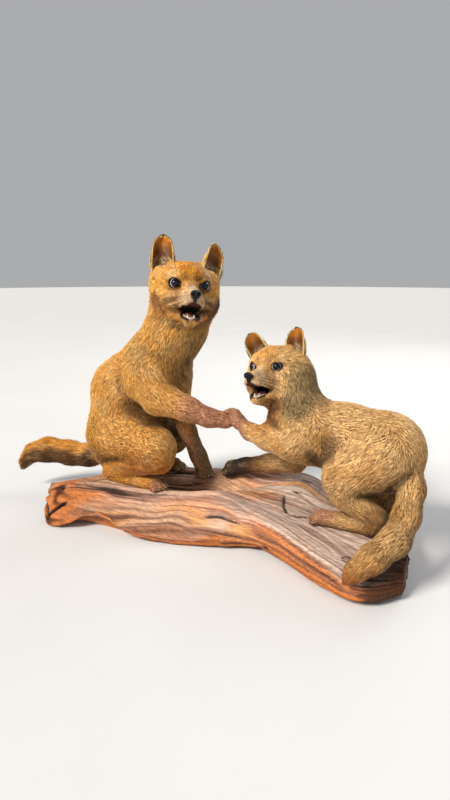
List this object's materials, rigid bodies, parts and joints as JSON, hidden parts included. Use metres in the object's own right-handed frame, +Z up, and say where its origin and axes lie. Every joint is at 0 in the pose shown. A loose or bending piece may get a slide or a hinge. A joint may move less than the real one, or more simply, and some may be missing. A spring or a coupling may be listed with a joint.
{
  "type": "taxidermy red fox",
  "caption": "Young red fox mounted sitting on a driftwood base, forepaw raised to a second, crouching fox that shares the mount.",
  "frame": {"origin": "on the flat underside of the driftwood, under the gap between the two animals", "axes": "+X along the wood from the sitting fox to the crouching one, +Y to the rear of the mount as displayed, +Z up"},
  "size_m": [0.6907, 0.2513, 0.429],
  "materials": {
    "coat": "dense soft fur, matte, sandy orange",
    "paw": "short thin fur, matte, red brown",
    "eye": "polished dark eye, opaque",
    "nose_skin": "black, slightly glossy",
    "teeth": "satin off-white with pink gum",
    "tongue": "dull dark pink",
    "driftwood": "weathered bare wood, orange brown front and grey top"
  },
  "bodies": {
    "root": {"driftwood_base": "driftwood", "fox_head": "coat", "fox_neck": "coat", "fox_trunk": "coat", "fox_tail_base": "coat", "fox_tail_end": "coat", "fox_thigh_left": "coat", "fox_thigh_right": "coat", "fox_foreleg_left": "coat", "fox_foreleg_right": "coat", "fox_hind_foot_left": "paw", "fox_hind_foot_right": "paw", "fox_forepaw_left": "paw", "fox_forepaw_right": "paw", "fox_ear_left": "coat", "fox_ear_right": "coat", "fox_eye_left": "eye", "fox_eye_right": "eye", "fox_nose": "nose_skin", "fox_lower_teeth": "teeth", "fox_tongue": "tongue", "second_fox": "coat"}
  },
  "joints": []
}
